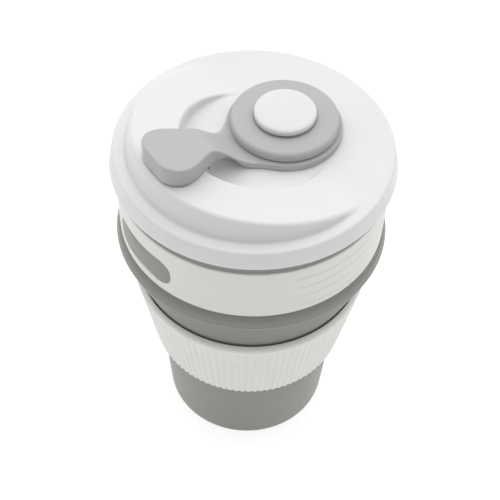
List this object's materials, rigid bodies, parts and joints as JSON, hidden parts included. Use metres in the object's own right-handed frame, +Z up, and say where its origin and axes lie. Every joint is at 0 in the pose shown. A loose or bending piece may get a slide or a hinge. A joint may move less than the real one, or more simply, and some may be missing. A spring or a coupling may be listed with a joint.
{
  "type": "collapsible travel cup",
  "caption": "Folding silicone drinking cup in stepped tiers, with a ribbed grip sleeve, a stiff upper band and a push-on lid with a turning stopper arm.",
  "frame": {"origin": "centre of the cup's underside, on the surface that it stands on", "axes": "+Z up the cup's axis, -Y towards the viewer; the drinking hole is on the -X -Y side and the pivot on the +X +Y side"},
  "size_m": [0.0956, 0.0956, 0.1507],
  "materials": {
    "cup_silicone": "matte silicone",
    "stopper_silicone": "matte silicone",
    "white_plastic": "fine satin polypropylene",
    "lid_plastic": "fine satin polypropylene"
  },
  "bodies": {
    "base": {"cup_base": "cup_silicone", "lower_fold": "cup_silicone"},
    "middle_tier": {"middle_wall": "cup_silicone", "grip_sleeve": "white_plastic", "upper_fold": "cup_silicone"},
    "upper_tier": {"rim_wall": "cup_silicone", "upper_band": "white_plastic"},
    "lid": {"lid_shell": "lid_plastic", "pivot_button": "lid_plastic", "retaining_washer": "lid_plastic"},
    "stopper": {"stopper_arm": "stopper_silicone", "swivel_disc": "stopper_silicone"},
    "stopper_tip": {"stopper_tab": "stopper_silicone"}
  },
  "joints": [
    {"name": "lower_collapse", "type": "slide", "parent": "base", "child": "middle_tier", "axis": [0, 0, -1], "range_m": [0, 0.0385], "deforming": ["lower_fold"]},
    {"name": "upper_collapse", "type": "slide", "parent": "middle_tier", "child": "upper_tier", "axis": [0, 0, -1], "range_m": [0, 0.0395], "deforming": ["upper_fold"]},
    {"name": "lid_lift", "type": "slide", "parent": "upper_tier", "child": "lid", "axis": [0, 0, 1], "range_m": [0, 0.03]},
    {"name": "stopper_swivel", "type": "hinge", "parent": "lid", "child": "stopper", "pos_m": [0.00974, 0.00718, 0.1342], "axis": [0, 0, 1], "continuous": true},
    {"name": "stopper_flex", "type": "hinge", "parent": "stopper", "child": "stopper_tip", "pos_m": [-0.0136, -0.01003, 0.145], "axis": [-0.5934, 0.8049, 0], "range_deg": [0, 60], "stiffness_Nm_per_rad": 0.02}
  ]
}
